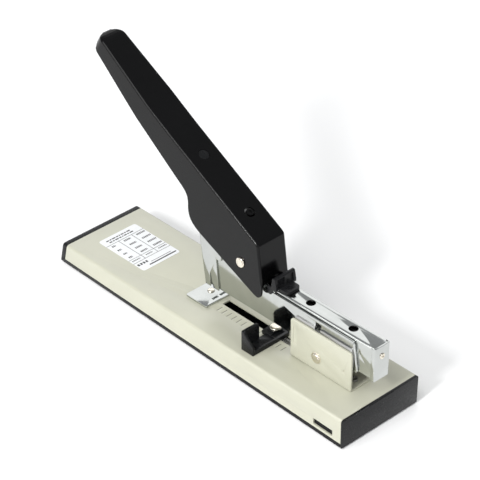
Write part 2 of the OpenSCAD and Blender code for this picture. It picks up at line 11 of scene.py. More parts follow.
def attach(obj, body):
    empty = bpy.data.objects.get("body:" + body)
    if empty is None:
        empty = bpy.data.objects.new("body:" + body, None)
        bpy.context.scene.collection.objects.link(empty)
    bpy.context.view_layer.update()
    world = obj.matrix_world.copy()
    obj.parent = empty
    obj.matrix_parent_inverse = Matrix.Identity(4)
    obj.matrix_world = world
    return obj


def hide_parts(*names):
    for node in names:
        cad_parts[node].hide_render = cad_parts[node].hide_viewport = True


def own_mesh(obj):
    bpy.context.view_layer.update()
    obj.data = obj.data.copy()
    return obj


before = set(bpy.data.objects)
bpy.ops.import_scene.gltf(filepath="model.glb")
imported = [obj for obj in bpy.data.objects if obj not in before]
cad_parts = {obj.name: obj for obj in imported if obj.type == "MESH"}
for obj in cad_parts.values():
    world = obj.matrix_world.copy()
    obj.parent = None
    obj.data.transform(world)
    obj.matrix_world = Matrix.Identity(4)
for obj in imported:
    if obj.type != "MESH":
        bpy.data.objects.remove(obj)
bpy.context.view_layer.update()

bl_info = {
    "name": "Heavy-Duty Desk Stapler",
    "version": (1, 0, 0),
    "blender": (4, 5, 0),
    "location": "View3D > Sidebar > Stapler",
    "description": "Builds the looks of a wedge-base desk stapler over its frame",
    "category": "Add Mesh",
}

MM = 0.001

# The deck is a plane that climbs towards the magazine end of the base.
BASE_LENGTH = 294.0
HALF_WIDTH = 37.0
BACK_HEIGHT = 24.3
FRONT_HEIGHT = 17.8
DECK_TILT = math.atan((BACK_HEIGHT - FRONT_HEIGHT) / BASE_LENGTH)
DECK_HEIGHT = (BACK_HEIGHT + FRONT_HEIGHT) / 2
COVER_TO = 145.2
PAPER_LEAN = math.radians(11)
PAPER_CAP = 4.6
SHEET = 1.5
RIM_TOP = 4.1
FOOT_LIFT = 0.8

# Places on the deck that several pieces share: along it and above it, and for the
# knob along it and across.
HINGE = (95.5, 11.6)
PIVOT = (23, 55.5)
LATCH_PIN = (48, 42.2)
KNOB = (44.2, 0.4)
BRACKET_HALF = 10.9

# The driver housing leans back from the line where the staple leaves.
NOSE_LEAN = math.radians(8.5)
NOSE_FOOT = (-12.5, 0.0, 16.4)

DECK = Matrix.Translation((0, 0, DECK_HEIGHT * MM)) @ Matrix.Rotation(-DECK_TILT, 4, "Y")
NOSE = (DECK @ Matrix.Translation(Vector(NOSE_FOOT) * MM)
        @ Matrix.Rotation(-NOSE_LEAN, 4, "Y"))
LEVEL = Matrix.Identity(4)
HANDLE_FACE = math.radians(29.2)
DOWN = Vector((0, 0, -1))

# The paper-end cap is a slab of even depth that leans with its outer face.
PAPER_FACE = Vector((-math.cos(PAPER_LEAN), 0, math.sin(PAPER_LEAN)))
PAPER_SEAM = (PAPER_CAP - BASE_LENGTH / 2, 0, FOOT_LIFT)


# ---------- small steps shared by the pieces ----------

def let_go():
    """Leaves edit mode with nothing selected."""
    if bpy.context.object and bpy.context.object.mode != "OBJECT":
        bpy.ops.object.mode_set(mode="OBJECT")
    bpy.ops.object.select_all(action="DESELECT")


def take(obj):
    """Makes one object the only one selected, and the active one."""
    let_go()
    obj.select_set(True)
    bpy.context.view_layer.objects.active = obj
    return obj


def named(name):
    obj = bpy.context.object
    obj.name = name
    obj.data.name = name
    return obj


def set_in_place(obj, matrix=LEVEL):
    """Applies a placement to the mesh, so the object stays at the origin."""
    take(obj)
    obj.matrix_world = matrix @ obj.matrix_world
    bpy.ops.object.transform_apply(location=True, rotation=True, scale=True)
    return obj


def edit(obj, kind):
    take(obj)
    bpy.ops.object.mode_set(mode="EDIT")
    bpy.ops.mesh.select_mode(type=kind)
    bpy.ops.mesh.select_all(action="DESELECT")


def choose(obj, kind, test):
    """Opens edit mode with the edges, faces or points that pass a test."""
    edit(obj, kind)
    shape = bmesh.from_edit_mesh(obj.data)
    shape.normal_update()
    parts = {"VERT": shape.verts, "EDGE": shape.edges, "FACE": shape.faces}[kind]
    for part in parts:
        part.select_set(test(part))
    shape.select_flush_mode()
    bmesh.update_edit_mesh(obj.data)


def middle(edge):
    return (edge.verts[0].co + edge.verts[1].co) / 2 / MM


def heading(edge):
    return (edge.verts[1].co - edge.verts[0].co).normalized()


def block(name, low, high):
    """A box between two corners, in millimetres."""
    let_go()
    low, high = Vector(low) * MM, Vector(high) * MM
    bpy.ops.mesh.primitive_cube_add(size=1, location=(low + high) / 2)
    obj = named(name)
    obj.scale = high - low
    return set_in_place(obj)


def rod(name, start, end, radius, sides=40):
    """A round bar between two points, in millimetres."""
    let_go()
    start, end = Vector(start) * MM, Vector(end) * MM
    along = end - start
    bpy.ops.mesh.primitive_cylinder_add(
        vertices=sides, radius=radius * MM, depth=along.length, location=(start + end) / 2,
        rotation=along.to_track_quat("Z", "Y").to_euler())
    return set_in_place(named(name))


def corner(points, index, reach):
    """One corner of an outline, eased into five points."""
    here = Vector(points[index])
    back = Vector(points[index - 1]) - here
    on = Vector(points[(index + 1) % len(points)]) - here
    step = min(reach, 0.42 * back.length, 0.42 * on.length)
    start, end = here + back.normalized() * step, here + on.normalized() * step
    return [tuple(start * (1 - t) ** 2 + here * 2 * t * (1 - t) + end * t * t)
            for t in (0, 0.25, 0.5, 0.75, 1)]


def pin_across(name, place, low, high, radius, sides=40):
    """A round bar across the stapler, at a place in its side view."""
    along, up = place
    return rod(name, (along, low, up), (along, high, up), radius, sides)


def eased(points, reach):
    """The same outline with each corner turned into a short curve."""
    return [point for index in range(len(points)) for point in corner(points, index, reach)]


def face_outwards(obj):
    edit(obj, "FACE")
    bpy.ops.mesh.select_all(action="SELECT")
    bpy.ops.mesh.normals_make_consistent(inside=False)
    let_go()
    return obj


def trim(obj, point, outwards, close=True):
    """Takes away what lies beyond a plane, and closes the opening if asked."""
    edit(obj, "FACE")
    bpy.ops.mesh.select_all(action="SELECT")
    bpy.ops.mesh.bisect(plane_co=tuple(Vector(point) * MM), plane_no=outwards,
                        clear_outer=True, use_fill=close)
    let_go()
    return obj


def profile(name, points, low, high, across="Y"):
    """A side outline drawn as a flat face and pulled out between two depths."""
    let_go()
    bpy.ops.mesh.primitive_circle_add(vertices=len(points), radius=1, fill_type="NGON")
    obj = named(name)
    place = {"Y": lambda a, b, d: (a, d, b), "X": lambda a, b, d: (d, a, b),
             "Z": lambda a, b, d: (a, b, d)}[across]
    for vertex, point in zip(obj.data.vertices, points):
        vertex.co = Vector(place(point[0], point[1], low)) * MM
    edit(obj, "FACE")
    bpy.ops.mesh.select_all(action="SELECT")
    step = Vector(place(0, 0, high - low)) * MM
    bpy.ops.mesh.extrude_region_move(TRANSFORM_OT_translate={"value": tuple(step)})
    return face_outwards(obj)


def round_edges(obj, radius, test, segments=4, clamp=True):
    choose(obj, "EDGE", test)
    bpy.ops.mesh.bevel(offset=radius * MM, segments=segments, affect="EDGES",
                       clamp_overlap=clamp)
    let_go()
    return obj


def drop_faces(obj, test):
    choose(obj, "FACE", test)
    bpy.ops.mesh.delete(type="FACE")
    let_go()
    return obj


def modify(obj, kind, **settings):
    """Adds one modifier and applies it at once."""
    take(obj)
    modifier = obj.modifiers.new(kind.title(), kind)
    for key, value in settings.items():
        setattr(modifier, key, value)
    bpy.ops.object.modifier_apply(modifier=modifier.name)
    return obj


def combine(obj, how, *others):
    """Cuts, joins or trims an object with others, which are used up."""
    for other in others:
        modify(obj, "BOOLEAN", operation=how, solver="EXACT", object=other)
        bpy.data.objects.remove(other, do_unlink=True)
    return obj


def cut(obj, *cutters):
    return combine(obj, "DIFFERENCE", *cutters)


def wall(obj, thickness):
    """Gives an open skin its sheet thickness, inwards."""
    return modify(obj, "SOLIDIFY", thickness=thickness * MM, offset=-1, use_even_offset=True)


def flatten_faces(obj, gap=0.002):
    edit(obj, "FACE")
    bpy.ops.mesh.select_all(action="SELECT")
    bpy.ops.mesh.remove_doubles(threshold=gap * MM)
    bpy.ops.mesh.dissolve_limited(angle_limit=math.radians(0.4))
    let_go()
    return obj


def break_edges(obj, width, angle=40, segments=2):
    """Takes the sharpness off every edge, as tumbling or deburring does."""
    flatten_faces(obj)
    return modify(obj, "BEVEL", width=width * MM, segments=segments, limit_method="ANGLE",
                  angle_limit=math.radians(angle), use_clamp_overlap=True,
                  harden_normals=False, miter_outer="MITER_ARC")


def joined(name, objects):
    take(objects[0])
    for obj in objects[1:]:
        obj.select_set(True)
    if len(objects) > 1:
        bpy.ops.object.join()
    return named(name)


def other_side(obj, name):
    """A mirror image, with its own mesh, across the middle plane of the stapler."""
    let_go()
    other = obj.copy()
    other.data = obj.data.copy()
    bpy.context.scene.collection.objects.link(other)
    other.name = name
    set_in_place(other, Matrix.Scale(-1, 4, (0, 1, 0)))
    return face_outwards(other)


def from_node(name, node, width=0.15, angle=35):
    """A frame part copied, merged and given its broken edges."""
    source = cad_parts[node]
    let_go()
    obj = source.copy()
    obj.data = source.data.copy()
    obj.parent = None
    for key in list(obj.keys()):
        del obj[key]
    bpy.context.scene.collection.objects.link(obj)
    obj.name = name
    obj.data.name = name
    obj.hide_render = False
    obj.matrix_world = Matrix.Identity(4)
    obj.data.materials.clear()
    edit(obj, "FACE")
    bpy.ops.mesh.select_all(action="SELECT")
    bpy.ops.mesh.remove_doubles(threshold=0.000005)
    bpy.ops.mesh.customdata_custom_splitnormals_clear()
    let_go()
    if width:
        break_edges(obj, width, angle)
    return obj


def finish(obj, body, slot, *nodes, look="", smooth=32):
    """Shades a piece, gives it the look of its slot and makes it ride on its body."""
    take(obj)
    bpy.ops.object.shade_smooth_by_angle(angle=math.radians(smooth))
    obj.data.materials.append(finish_of(look or slot))
    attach(obj, body)
    if nodes:
        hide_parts(*nodes)
    return obj


def frame_parts(body, *rows):
    """Parts that keep their shape from the frame, with only their edges broken."""
    for name, node, slot, width in rows:
        finish(from_node(name, node, width), body, slot, node)


def coil(name, centre, axis, radius, wire, turns, pitch, sides=10, steps=22):
    """A wire circle wound along an axis into a spring."""
    let_go()
    bpy.ops.mesh.primitive_circle_add(vertices=sides, radius=wire / 2 * MM,
                                      location=(radius * MM, 0, 0),
                                      rotation=(math.pi / 2, 0, 0))
    obj = set_in_place(named(name))
    modify(obj, "SCREW", axis="Z", angle=math.tau * turns, screw_offset=pitch * turns * MM,
           steps=int(steps * turns), render_steps=int(steps * turns), use_smooth_shade=True)
    edit(obj, "EDGE")
    bpy.ops.mesh.select_non_manifold()
    bpy.ops.mesh.edge_face_add()
    bpy.ops.mesh.select_all(action="SELECT")
    bpy.ops.mesh.remove_doubles(threshold=0.000001)
    face_outwards(obj)
    turn = Vector(axis).to_track_quat("Z", "Y").to_matrix().to_4x4()
    return set_in_place(obj, Matrix.Translation(Vector(centre) * MM) @ turn)


# ---------- finishes ----------

class Finish:
    """One procedural material, grown node by node on Object coordinates."""

    def __init__(self, name):
        self.material = bpy.data.materials.new(name)
        self.material.use_nodes = True
        self.tree = self.material.node_tree
        self.shader = self.tree.nodes["Principled BSDF"]
        self.space = self.add("ShaderNodeTexCoord").outputs["Object"]

    def add(self, kind, **settings):
        node = self.tree.nodes.new(kind)
        for key, value in settings.items():
            setattr(node, key, value)
        return node

    def link(self, source, target):
        self.tree.links.new(source, target)

    def stretched(self, scale, turn=(0, 0, 0)):
        mapping = self.add("ShaderNodeMapping")
        mapping.inputs["Scale"].default_value = scale
        mapping.inputs["Rotation"].default_value = turn
        self.link(self.space, mapping.inputs["Vector"])
        return mapping.outputs["Vector"]

    def noise(self, scale, detail=3, rough=0.55, vector=None):
        node = self.add("ShaderNodeTexNoise")
        node.inputs["Scale"].default_value = scale
        node.inputs["Detail"].default_value = detail
        node.inputs["Roughness"].default_value = rough
        self.link(vector or self.space, node.inputs["Vector"])
        return node.outputs["Fac"]

    def spread(self, source, low, high, start=0.3, end=0.7):
        node = self.add("ShaderNodeMapRange")
        for key, value in (("From Min", start), ("From Max", end), ("To Min", low),
                           ("To Max", high)):
            node.inputs[key].default_value = value
        self.link(source, node.inputs["Value"])
        return node.outputs["Result"]

    def between(self, factor, first, second):
        node = self.add("ShaderNodeMix", data_type="RGBA")
        node.inputs["A"].default_value = (*first, 1)
        node.inputs["B"].default_value = (*second, 1)
        self.link(factor, node.inputs["Factor"])
        return node.outputs["Result"]

    def bump(self, height, strength, distance, under=None):
        node = self.add("ShaderNodeBump")
        node.inputs["Strength"].default_value = strength
        node.inputs["Distance"].default_value = distance * MM
        self.link(height, node.inputs["Height"])
        if under:
            self.link(under, node.inputs["Normal"])
        self.link(node.outputs["Normal"], self.shader.inputs["Normal"])
        return node.outputs["Normal"]

    def set(self, **values):
        for key, value in values.items():
            self.shader.inputs[key.replace("_", " ")].default_value = value

    def feed(self, **sources):
        for key, value in sources.items():
            self.link(value, self.shader.inputs[key.replace("_", " ")])


def painted(name, colour, shade, rough, grain, coat=0.0, gloss=0.5):
    """Baked enamel: a fine orange peel with a faint drift of tone."""
    f = Finish(name)
    f.feed(Base_Color=f.between(f.spread(f.noise(26, 4), 0, 1), colour, shade),
           Roughness=f.spread(f.noise(240, 2), rough - 0.05, rough + 0.06))
    peel = f.bump(f.noise(grain, 2, 0.4), 0.05, 0.02)
    f.bump(f.noise(grain * 3.2, 1, 0.5), 0.05, 0.006, peel)
    f.set(Specular_IOR_Level=gloss)
    if coat:
        f.set(Coat_Weight=coat, Coat_Roughness=0.12)
    return f.material


def moulded(name, colour, shade, rough):
    """Satin moulded plastic with a spark-eroded grain."""
    f = Finish(name)
    f.feed(Base_Color=f.between(f.spread(f.noise(40, 3), 0, 1), colour, shade),
           Roughness=f.spread(f.noise(520, 2), rough - 0.06, rough + 0.07))
    coarse = f.bump(f.noise(2600, 2, 0.6), 0.1, 0.012)
    f.bump(f.noise(7000, 1, 0.5), 0.08, 0.005, coarse)
    f.set(Specular_IOR_Level=0.2)
    return f.material


def plated(name, colour, shade, rough, streak, along=(60, 1400, 1400), marks=0.03):
    """Plated or rolled metal: drawn streaks, cloudy patches and fine scuffs."""
    f = Finish(name)
    lines = f.noise(1.0, 4, 0.6, f.stretched(along))
    cloud = f.noise(55, 4, 0.6)
    scuff = f.noise(1.0, 3, 0.7, f.stretched((700, 90, 240), (0.3, 0.9, 0.4)))
    mix = f.add("ShaderNodeMath", operation="MULTIPLY_ADD")
    f.link(f.spread(lines, 0, streak), mix.inputs[0])
    mix.inputs[1].default_value = 1.0
    f.link(f.spread(cloud, 0, marks * 2, 0.4, 0.75), mix.inputs[2])
    total = f.add("ShaderNodeMath", operation="ADD")
    f.link(mix.outputs[0], total.inputs[0])
    f.link(f.spread(scuff, rough, rough + marks, 0.55, 0.8), total.inputs[1])
    f.feed(Base_Color=f.between(f.spread(cloud, 0, 1), colour, shade),
           Roughness=total.outputs[0])
    f.set(Metallic=1.0)
    f.bump(lines, 0.06, 0.01)
    return f.material


def rubbered(name):
    f = Finish(name)
    f.feed(Base_Color=f.between(f.spread(f.noise(300, 3), 0, 1), (0.018, 0.018, 0.019),
                                (0.03, 0.03, 0.031)),
           Roughness=f.spread(f.noise(900, 2), 0.72, 0.88))
    f.bump(f.noise(3500, 2), 0.25, 0.03)
    return f.material


def papered(name, colour, shade, rough=0.34):
    """Coated sticker stock, or the ink on it; the same ink also serves as painted shade at the
    bottom of the tick grooves.
    """
    f = Finish(name)
    f.feed(Base_Color=f.between(f.spread(f.noise(900, 3), 0, 1), colour, shade),
           Roughness=f.spread(f.noise(1600, 2), rough - 0.04, rough + 0.08))
    f.bump(f.noise(4200, 3), 0.1, 0.01)
    return f.material


FINISHES = {}


def finish_of(key):
    """The shared material with this name, made when it is first asked for."""
    if key not in FINISHES:
        colours = bpy.context.scene.stapler_colours
        cream, black = tuple(colours.cream)[:3], tuple(colours.black)[:3]
        makers = {
            "cream_paint": lambda: painted("Cream enamel", cream,
                                           tuple(c * 0.94 for c in cream), 0.34, 900, 0.25),
            # Black enamel of the handle, also laid on the lever screw as painted shade, so the
            # hole over the screw reads dark.
            "black_enamel": lambda: painted("Black enamel and hole shade", black,
                                            tuple(c * 1.2 + 0.0005 for c in black), 0.18, 1100,
                                            0.0, 0.19),
            "black_plastic": lambda: moulded("Black moulding", (0.006, 0.0063, 0.007),
                                             (0.009, 0.0093, 0.0102), 0.3),
            "chrome": lambda: plated("Bright plating", (0.56, 0.575, 0.56),
                                     (0.49, 0.505, 0.49), 0.06, 0.03),
            "nickel": lambda: plated("Warm nickel", (0.84, 0.79, 0.69), (0.78, 0.73, 0.63),
                                     0.17, 0.05, (600, 600, 600)),
            "plain_steel": lambda: plated("Rolled steel", (0.5, 0.5, 0.49),
                                          (0.42, 0.42, 0.415), 0.3, 0.12),
            "spring_wire": lambda: plated("Spring wire", (0.62, 0.61, 0.58),
                                          (0.52, 0.51, 0.49), 0.22, 0.08, (900, 900, 900)),
            "staple_wire": lambda: plated("Zinc wire", (0.74, 0.75, 0.76),
                                          (0.66, 0.67, 0.68), 0.24, 0.06, (900, 90, 90)),
            "rubber": lambda: rubbered("Foot rubber"),
            "label_paper": lambda: papered("Label stock", (0.79, 0.8, 0.81),
                                           (0.75, 0.76, 0.77)),
            # Dark ink of the label print, also laid in the bottoms of the tick grooves as painted
            # shade.
            "ink_and_groove_shade": lambda: papered("Label ink and groove shade", (0.02, 0.02, 0.022),
                                         (0.05, 0.05, 0.052), 0.45),
        }
        FINISHES[key] = makers[key]()
    return FINISHES[key]


# ---------- settings ----------

class STAPLER_PG_sizes(PropertyGroup):
    """Sizes that a maker would change."""
    bend_radius: FloatProperty(
        name="Handle bend", description="Bend radius along the edges of the handle",
        default=1.7 * MM, min=0.5 * MM, max=3 * MM, unit="LENGTH")
    cover_radius: FloatProperty(
        name="Cover bend", description="Radius of the long edges of the painted cover",
        default=2.2 * MM, min=0.8 * MM, max=4 * MM, unit="LENGTH")
    broken_edge: FloatProperty(
        name="Broken edge", description="How far the sharp edges of sheet metal are taken off",
        default=0.15 * MM, min=0.05 * MM, max=0.4 * MM, unit="LENGTH")
    tick_count: IntProperty(
        name="Depth marks", description="How many marks run beside the guide slot",
        default=14, min=6, max=16)


class STAPLER_PG_colours(PropertyGroup):
    """Colours of the painted parts and of the studio."""
    cream: FloatVectorProperty(
        name="Cream enamel", description="Colour of the base cover and the bracket",
        default=(0.485, 0.482, 0.388), size=3, min=0, max=1, subtype="COLOR")
    black: FloatVectorProperty(
        name="Black enamel and hole shade", description="Colour of the handle",
        default=(0.0016, 0.0016, 0.0018), size=3, min=0, max=1, subtype="COLOR")
    floor: FloatVectorProperty(
        name="Floor", description="Colour of the studio floor",
        default=(0.94, 0.94, 0.94), size=3, min=0, max=1, subtype="COLOR")


# ---------- base ----------

class STAPLER_OT_cover(Operator):
    """Folded sheet cover of the base, with its slot, depth marks and side windows"""
    bl_idname = "stapler.cover"
    bl_label = "Base Cover"

    def execute(self, context):
        sizes = context.scene.stapler_sizes
        cover = block("Base_cover", (-BASE_LENGTH / 2 - 2, -HALF_WIDTH, -30),
                      (COVER_TO, HALF_WIDTH, 0))
        round_edges(cover, sizes.cover_radius / MM, lambda e: abs(heading(e).x) > 0.9
                    and middle(e).z > -1, 7)
        set_in_place(cover, DECK)
        trim(cover, (0, 0, RIM_TOP), DOWN, close=False)
        trim(cover, PAPER_SEAM, PAPER_FACE, close=False)
        drop_faces(cover, lambda f: abs(f.normal.x) > 0.9 or f.normal.z < -0.9)
        wall(cover, SHEET)
        cutters = [set_in_place(profile("slot", eased(
            [(-6, -3.6), (66, -3.6), (66, 3.6), (-6, 3.6)], 0.6), -6, 6, "Z"), DECK)]
        groove_shade_fills = []
        for i in range(sizes.tick_count):
            at = -3.1 + 5 * i
            cutters.append(set_in_place(block("tick", (at - 0.24, -12.1, -0.16),
                                              (at + 0.24, -6.3, 1)), DECK))
            # Each tick groove gets a dark fill at its bottom: painted shade standing in for the
            # shadow inside the groove.
            groove_shade_fills.append(block("mark", (at - 0.2, -12.0, -0.2), (at + 0.2, -6.4, -0.1)))
        for side in (-1, 1):
            cutters.append(profile("window", eased(
                [(119.5, 6), (137.7, 6), (137.7, 11), (119.5, 11)], 0.7),
                side * 45 if side < 0 else 30, -30 if side < 0 else 45))
        cut(cover, *cutters)
        break_edges(cover, sizes.broken_edge / MM * 0.8, 50)
        finish(cover, "base", "cream_paint", "base_cover", smooth=28)
        # The dark groove fills become one object of painted shade, coloured with the dark label
        # ink.
        marks = set_in_place(joined("Depth_mark_shade", groove_shade_fills), DECK)
        finish(marks, "base", "cream_paint", look="ink_and_groove_shade")
        return {"FINISHED"}


class STAPLER_OT_caps(Operator):
    """Moulded end caps, the back one with its recess under the magazine"""
    bl_idname = "stapler.caps"
    bl_label = "End Caps"

    def execute(self, context):
        back = block("Cap_back", (COVER_TO, -HALF_WIDTH, -30), (COVER_TO + 8, HALF_WIDTH, 0))
        round_edges(back, 2.2, lambda e: abs(heading(e).x) > 0.9 and middle(e).z > -1, 7)
        set_in_place(back, DECK)
        trim(back, (0, 0, FOOT_LIFT), DOWN)
        trim(back, (BASE_LENGTH / 2, 0, 0), (1, 0, 0))
        cut(back, set_in_place(block("recess", (COVER_TO + 1.4, -12, -0.7), (160, 12, 5)), DECK),
            set_in_place(block("recess", (COVER_TO + 1.9, -12, -8), (160, 12, 5)), DECK))
        break_edges(back, 0.45, 40, 3)
        finish(back, "base", "black_plastic", "cap_back")

        front = block("Cap_front", (-BASE_LENGTH / 2 - 2, -HALF_WIDTH, -30),
                      (-130, HALF_WIDTH, 0))
        round_edges(front, 2.2, lambda e: abs(heading(e).x) > 0.9 and middle(e).z > -1, 7)
        set_in_place(front, DECK)
        trim(front, (0, 0, FOOT_LIFT), DOWN)
        trim(front, (-BASE_LENGTH / 2, 0, FOOT_LIFT), PAPER_FACE)
        trim(front, PAPER_SEAM, -PAPER_FACE)
        cut(front, block("tray_room", (-144.3, -60, -5), (-100, 60, RIM_TOP)))
        break_edges(front, 0.5, 40, 3)
        finish(front, "base", "black_plastic", "cap_front")
        return {"FINISHED"}


class STAPLER_OT_label(Operator):
    """Rounded paper label with a plain printed chart of rules and short bars"""
    bl_idname = "stapler.label"
    bl_label = "Deck Label"

    def execute(self, context):
        at = Matrix.Translation(Vector((-100.6, 0.5, 0)) * MM)
        outline = eased([(-25.5, -18), (25.5, -18), (25.5, 18), (-25.5, 18)], 2.4)
        paper = set_in_place(profile("Label", outline, 0.0, 0.14, "Z"), DECK @ at)
        finish(paper, "base", "label_paper", "label")

        marks = [(-16.4, -18, -16.0, 18), (8.6, -18, 9.0, 18), (13.9, -18, 14.3, 18),
                 (-16.2, -6.5, 14.2, -6.1), (-16.2, 6.0, 14.2, 6.4)]
        for row, (start, end) in ((-21.6, (-13.5, 11)), (-19.0, (-12.5, 12))):
            place, step = start, 0
            while place < end - 1:
                length = (2.6, 1.5, 3.3, 2.0, 1.2)[step % 5]
                marks.append((row - 0.62, place, row + 0.62, min(place + length, end)))
                place += length + 0.7
                step += 1
        for row in (-13.4, -6.9, -0.6, 5.5, 11.1):
            last = row > 11
            for low, high in (((-16.5, -8.8) if last else (-14.9, -11.6)),
                              (-3.2, 3.0), (9.0, 17.0)):
                width = 0.6 if last else 0.95
                place = low
                while place < high - 0.2:
                    marks.append((row - width, place, row + width,
                                  min(place + 1.0, high)))
                    place += 1.45
        for place in (-16.9, -14.3, -11.7, -9.1):
            marks.append((16.4, place, 18.8, place + 1.7))
        marks.append((21.7, -9.4, 23.0, 16.4))
        marks.append((19.8, -6, 20.3, 13.5))
        let_go()
        bpy.ops.mesh.primitive_plane_add(size=1)
        ink = named("Label_chart")
        edit(ink, "FACE")
        for low_u, low_v, high_u, high_v in marks:
            bpy.ops.mesh.primitive_plane_add(
                size=1, location=((low_u + high_u) / 2 * MM, (low_v + high_v) / 2 * MM,
                                  0.16 * MM))
            bpy.ops.transform.resize(
                value=((high_u - low_u) * MM, (high_v - low_v) * MM, 1),
                center_override=((low_u + high_u) / 2 * MM, (low_v + high_v) / 2 * MM, 0))
        let_go()
        drop_faces(ink, lambda f: f.calc_area() > 0.5)
        set_in_place(ink, DECK @ at)
        finish(ink, "base", "label_paper", look="ink_and_groove_shade")
        return {"FINISHED"}


def rivet_head(name, radius, height, sides=40):
    """A low domed head, flat underneath, standing on z = 0."""
    let_go()
    bpy.ops.mesh.primitive_cylinder_add(vertices=sides, radius=radius * MM,
                                        depth=height * MM, location=(0, 0, height / 2 * MM))
    head = set_in_place(named(name))
    choose(head, "EDGE", lambda e: all(v.co.z > height * 0.9 * MM for v in e.verts)
           and len(e.link_faces) == 2 and abs(e.link_faces[0].normal.z) + abs(
               e.link_faces[1].normal.z) > 0.9)
    bpy.ops.mesh.bevel(offset=height * 0.96 * MM, segments=6, affect="EDGES", profile=0.55,
                       clamp_overlap=True)
    let_go()
    choose(head, "FACE", lambda f: f.normal.z > 0.99 and f.calc_center_median().z
           > height * 0.95 * MM)
    bpy.ops.mesh.inset(thickness=radius * 0.3 * MM, depth=radius * 0.06 * MM)
    let_go()
    return head


def spot(u, v, w):
    return Matrix.Translation(Vector((u, v, w)) * MM)


def on_side(place, side, depth):
    """Lays a head that stands on z = 0 flat against one side, looking outwards."""
    return (spot(place[0], side * depth, place[1])
            @ Matrix.Rotation(math.radians(-90 * side), 4, "X"))


class STAPLER_OT_anvil(Operator):
    """Polished anvil plate with two clinching grooves, held by a domed rivet"""
    bl_idname = "stapler.anvil"
    bl_label = "Anvil"

    def execute(self, context):
        plate = profile("Anvil_plate", eased([(-31.3, -16), (-9.8, -16), (-9.8, 16),
                                              (-31.3, 16)], 1.6), 0, 1.5, "Z")
        for side in (-1, 1):
            centre = side * 3.7
            pocket = rod("groove", (-14.7, centre, 4.9), (-12.5, centre, 4.9), 4.4, 64)
            keep = block("length", (-16, centre - 2.9, -1), (-10, centre + 2.9, 3))
            cut(plate, combine(pocket, "INTERSECT", keep))
        set_in_place(plate, DECK)
        break_edges(plate, 0.28, 30, 3)
        finish(plate, "base", "chrome", "anvil_plate")
        head = set_in_place(rivet_head("Anvil_rivet", 2.7, 1.0), DECK @ spot(-21.9, 0, 1.5))
        finish(head, "base", "nickel", "anvil_rivet")
        return {"FINISHED"}


class STAPLER_OT_bracket(Operator):
    """Painted hinge bracket, folded up from one strip, with its pin"""
    bl_idname = "stapler.bracket"
    bl_label = "Hinge Bracket"

    def execute(self, context):
        bracket = block("Bracket", (70.5, -BRACKET_HALF, 0), (128.6, BRACKET_HALF, 32.4))
        round_edges(bracket, 2.2, lambda e: abs(heading(e).y) > 0.9 and middle(e).z > 30, 6)
        round_edges(bracket, 1.5, lambda e: abs(heading(e).x) > 0.9 and middle(e).z < 1, 5)
        drop_faces(bracket, lambda f: abs(f.normal.y) < 0.5 and f.normal.z > -0.2)
        wall(bracket, 1.4)
        cutters = [pin_across("pin_hole", HINGE, -20, 20, 2.5, 48)]
        for u in (75.6, 121.5):
            cutters.append(rod("screw_hole", (u, 0, -2), (u, 0, 4), 1.5, 32))
        for side in (-1, 1):
            near, far = sorted((side * 10.55, side * 12))
            cutters.append(block("pressing", (73, near, 12.3), (76.8, far, 26.1)))
            cutters.append(rod("punch", (121.4, side * 10.4, 14.2),
                               (121.4, side * 12, 14.2), 0.9, 24))
        cut(bracket, *cutters)
        set_in_place(bracket, DECK)
        break_edges(bracket, 0.22, 40, 3)
        finish(bracket, "base", "cream_paint", "bracket", smooth=28)

        pin = [pin_across("shaft", HINGE, -BRACKET_HALF, BRACKET_HALF, 2.48)]
        for side in (-1, 1):
            pin += [pin_across("washer", HINGE, side * BRACKET_HALF, side * 11.4, 4.4, 44),
                    set_in_place(rivet_head("head", 3.5, 0.9), on_side(HINGE, side, 11.4))]
        pin = set_in_place(joined("Hinge_pin", pin), DECK)
        break_edges(pin, 0.1, 50)
        finish(pin, "base", "nickel", "hinge_pin")
        frame_parts("base", ("Bracket_screws", "bracket_screws", "plain_steel", 0.12))
        return {"FINISHED"}


class STAPLER_OT_underside(Operator):
    """Tray, feet, screws and side window clips of the base"""
    bl_idname = "stapler.underside"
    bl_label = "Tray and Feet"

    def execute(self, context):
        frame_parts("base",
                    ("Base_tray", "base_tray", "black_plastic", 0.25),
                    ("Foot_pads", "feet", "rubber", 0.2),
                    ("Tray_screws", "tray_screws", "plain_steel", 0.12),
                    ("Window_clips", "window_clips", "black_plastic", 0.25))
        return {"FINISHED"}


# ---------- hinged body ----------

PLATE_OUTLINE = [(-18.2, 16.4), (130.1, 16.4), (131.5, 17.8), (127.6, 41), (50.6, 41),
                 (50.2, 43.2), (49, 44.2), (47, 44.3), (45.8, 43.4), (45.4, 41), (41.5, 41),
                 (33.5, 60), (30.5, 63), (-21, 63), (-24.4, 57.6)]


